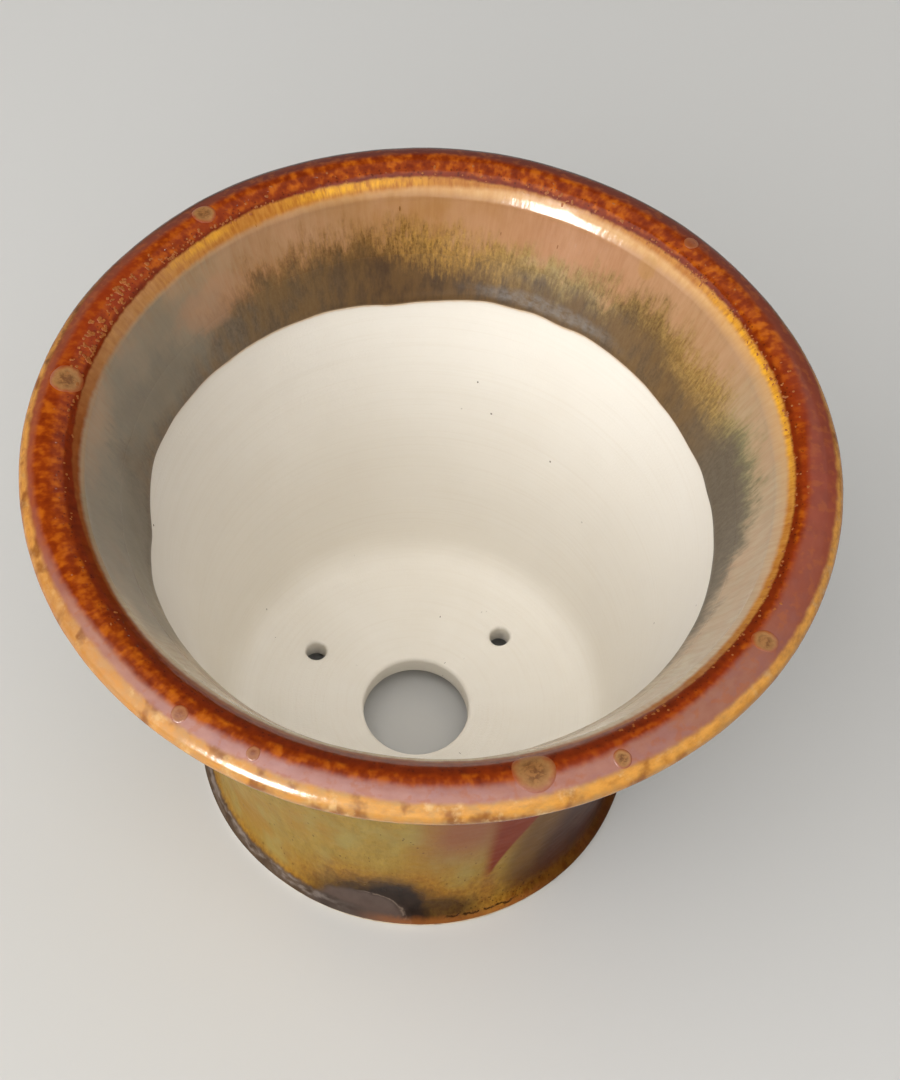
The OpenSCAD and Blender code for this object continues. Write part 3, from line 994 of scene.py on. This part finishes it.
def make_flecks():
    """Small crystals in short crooked chains along the dark line, crowded at the left of the far side."""
    rng = np.random.default_rng(77)
    discs = []
    while len(discs) < FLECKS:
        a = rng.uniform(-70, 215)
        crowd = bump_at(a, 150, 15)
        if rng.uniform() > 0.22 + 0.4 * max(0, math.sin(math.radians(a * 3.1 + 40))) + crowd:
            continue
        s = rng.normal(124.6, 0.35) - (rng.uniform(0, 3.0) if rng.uniform() < 0.15 + 0.7 * crowd else 0)
        heading, half = rng.uniform(0, 2 * math.pi), rng.uniform(0.13, 0.3) * (1 + 0.3 * crowd)
        for _ in range(rng.integers(1, 3 + int(4 * crowd))):
            discs.append((a, s, half))
            heading += rng.normal(0, 1.2)
            a += math.degrees(math.cos(heading) * half * 1.2 / 65)
            s += math.sin(heading) * half * 1.2
            half *= rng.uniform(0.65, 1.2)
    around, along, half = np.array(discs).T
    return disc_mesh("lip_flecks", *disc_points(around, along, half, 3, 8, half * 0.45, 100))


finish_piece(make_clay(), bare_clay("bare_clay"), "bare_clay", "clay_body")
finish_piece(make_foot_ring(), foot_clay("foot_clay"), "foot_clay", "foot_ring")

outside = wall_glaze_material("outer_glaze")
wall_coat = coat("wall_coat", SEAM, EDGE, 400, 0.55)
finish_piece(wall_coat, outside, "outer_glaze", "outer_glaze")
foot_coat = coat("foot_coat", 0.2, SEAM, 400, 0.2, (True, False))
finish_piece(foot_coat, renamed(outside, "foot_glaze"), "foot_glaze", "foot_glaze")
inside = lip_glaze_material("lip_glaze")
lip_coat = coat("lip_coat", EDGE, CORNER, 640, 0.16)
finish_piece(lip_coat, inside, "lip_glaze", "lip_glaze")
collar_coat = coat("collar_coat", CORNER, glaze_line(angles(480)), 480, 0.24, (False, True))
finish_piece(collar_coat, renamed(inside, "collar_glaze"), "collar_glaze", "collar_glaze")
finish_piece(make_blooms(), crystal_material("crystal"), "crystal", "crystal_blooms")
finish_piece(make_flecks(), fleck_material("flecks"), "crystal")

# ---------------------------------------------------------------- stage, lights and camera


def make_floor():
    mesh = bpy.data.meshes.new("floor")
    far = 3.0
    mesh.from_pydata([(-far, -far, 0), (far, -far, 0), (far, far, 0), (-far, far, 0)], [], [(0, 1, 2, 3)])
    floor = add_object("floor", mesh)
    material = bpy.data.materials.new("floor")
    material.use_nodes = True
    shader = material.node_tree.nodes["Principled BSDF"]
    shader.inputs["Base Color"].default_value = srgb(204, 203, 200)
    shader.inputs["Roughness"].default_value = 0.7
    mesh.materials.append(material)


LIT_POINT = Vector((0, 0, 0.08))


def add_light(name, around, height, distance, size, watts, colour):
    """A soft box that looks at the pot from an angle about Z and a height in degrees."""
    lamp = bpy.data.lights.new(name, "AREA")
    lamp.shape = "RECTANGLE"
    lamp.size, lamp.size_y = size
    lamp.energy = watts
    lamp.color = colour
    light = add_object(name, lamp)
    a, e = math.radians(around), math.radians(height)
    way = Vector((math.cos(a) * math.cos(e), math.sin(a) * math.cos(e), math.sin(e)))
    light.location = LIT_POINT + distance * way
    light.rotation_euler = (-way).to_track_quat("-Z", "Y").to_euler()
    return light


def make_world(strength):
    world = bpy.data.worlds.new("studio")
    world.use_nodes = True
    background = world.node_tree.nodes["Background"]
    background.inputs["Color"].default_value = (0.93, 0.96, 1.0, 1.0)
    background.inputs["Strength"].default_value = strength
    bpy.context.scene.world = world


# The camera looks down into the pot, turned this far about Z from the row's frame
CAMERA_TURN = -11.0
CAMERA_HEIGHT = 56.55
CAMERA_ROLL = 5.01
CAMERA_TARGET = (4.4, 52.7, 0.0)
CAMERA_DISTANCE = 455.7
CAMERA_LENS = 61.3


def make_camera():
    e, roll = math.radians(CAMERA_HEIGHT), math.radians(CAMERA_ROLL)
    back = Vector((0, -math.cos(e), math.sin(e)))
    right, up = Vector((1, 0, 0)), Vector((0, math.sin(e), math.cos(e)))
    right, up = math.cos(roll) * right + math.sin(roll) * up, math.cos(roll) * up - math.sin(roll) * right
    matrix = Matrix((right, up, back)).transposed().to_4x4()
    matrix.translation = (Vector(CAMERA_TARGET) + CAMERA_DISTANCE * back) * MM
    data = bpy.data.cameras.new("camera")
    data.lens = CAMERA_LENS
    data.clip_start = 0.01
    camera = add_object("camera", data)
    camera.matrix_world = Matrix.Rotation(math.radians(CAMERA_TURN), 4, "Z") @ matrix
    bpy.context.scene.camera = camera


make_floor()
make_world(0.15)
glint = add_light("glint", 226, 34, 0.9, (0.25, 0.32), 28.0, (1.0, 0.985, 0.96))
glint.visible_diffuse = False
add_light("window", 228, 48, 1.7, (3.0, 2.6), 56.0, (1.0, 0.985, 0.96))
add_light("fill", 15, 65, 2.3, (3.0, 2.8), 13.0, (1.0, 0.99, 0.98))
make_camera()
bpy.context.scene.view_settings.view_transform = "Standard"
